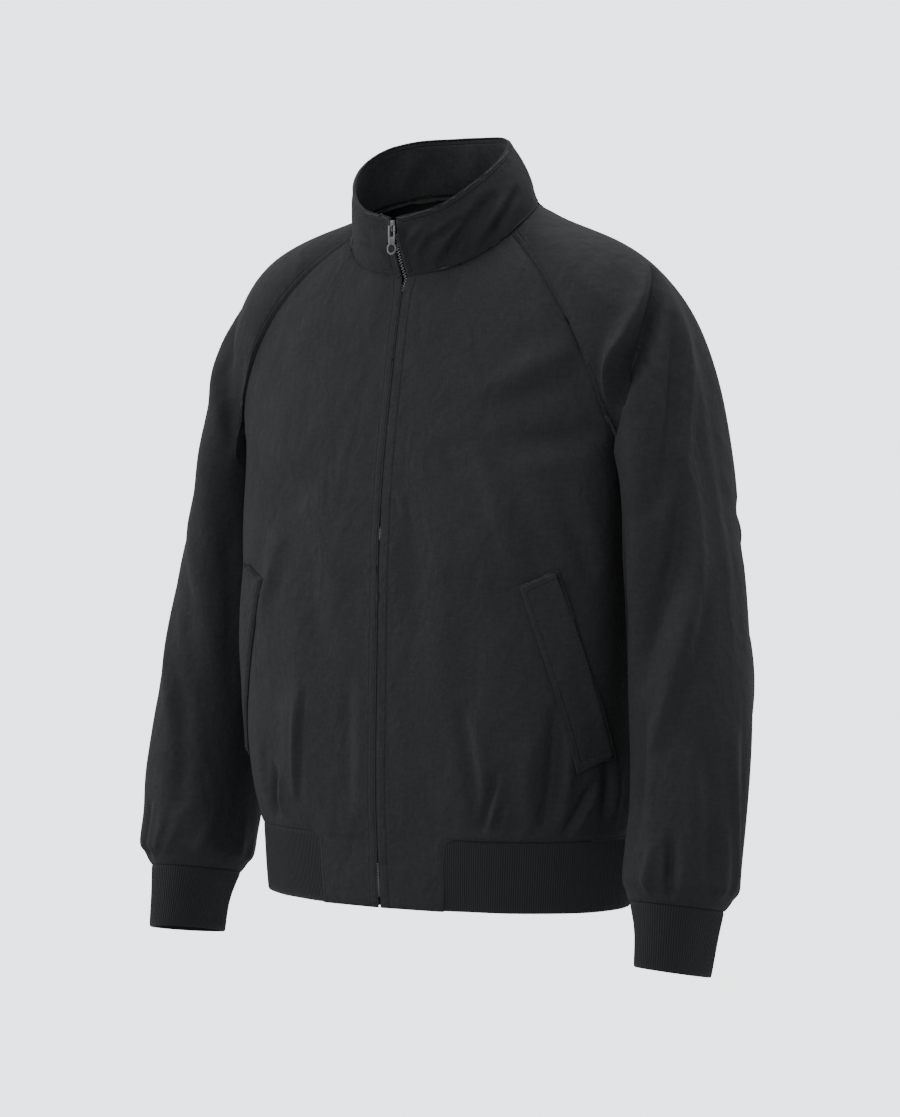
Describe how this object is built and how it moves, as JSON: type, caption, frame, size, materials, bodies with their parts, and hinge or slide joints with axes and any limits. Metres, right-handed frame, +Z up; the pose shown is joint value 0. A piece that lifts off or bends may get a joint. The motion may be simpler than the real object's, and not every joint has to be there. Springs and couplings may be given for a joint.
{
  "type": "bomber jacket",
  "caption": "Zip-front bomber jacket with raglan sleeves, stand collar, slanted welt pockets and ribbed cuffs and hem, filled out as if worn.",
  "frame": {"origin": "middle of the neck opening, where a wearer's neck and shoulders hold the jacket", "axes": "+Z up, the front faces -Y, and the wearer's left is +X"},
  "size_m": [0.662, 0.2439, 0.7797],
  "materials": {
    "front_left": "matt black light woven cloth",
    "front_right": "matt black light woven cloth",
    "back": "matt black light woven cloth",
    "sleeve_left": "matt black light woven cloth",
    "sleeve_right": "matt black light woven cloth",
    "collar": "matt black light woven cloth",
    "hem_rib": "black rib knit",
    "cuff_left": "black rib knit",
    "cuff_right": "black rib knit",
    "pocket_welt_left": "matt black light woven cloth",
    "pocket_welt_right": "matt black light woven cloth",
    "zip_tape_left": "black woven tape",
    "zip_tape_right": "black woven tape",
    "zip_chain": "darkened metal teeth",
    "zip_box": "darkened metal",
    "zip_slider": "darkened metal",
    "pull_tab": "darkened metal"
  },
  "bodies": {
    "jacket": {"front_left": "front_left", "front_right": "front_right", "back": "back", "sleeve_left": "sleeve_left", "sleeve_right": "sleeve_right", "collar": "collar", "hem_rib": "hem_rib", "cuff_left": "cuff_left", "cuff_right": "cuff_right", "pocket_welt_left": "pocket_welt_left", "pocket_welt_right": "pocket_welt_right", "zip_tape_left": "zip_tape_left", "zip_tape_right": "zip_tape_right", "zip_chain": "zip_chain", "zip_box": "zip_box", "zip_slider": "zip_slider"},
    "pull": {"pull_tab": "pull_tab"}
  },
  "joints": [
    {"name": "pull_hinge", "type": "hinge", "parent": "jacket", "child": "pull", "pos_m": [0, -0.0899, 0.005], "axis": [-1, 0, 0], "range_deg": [-8, 150]}
  ]
}
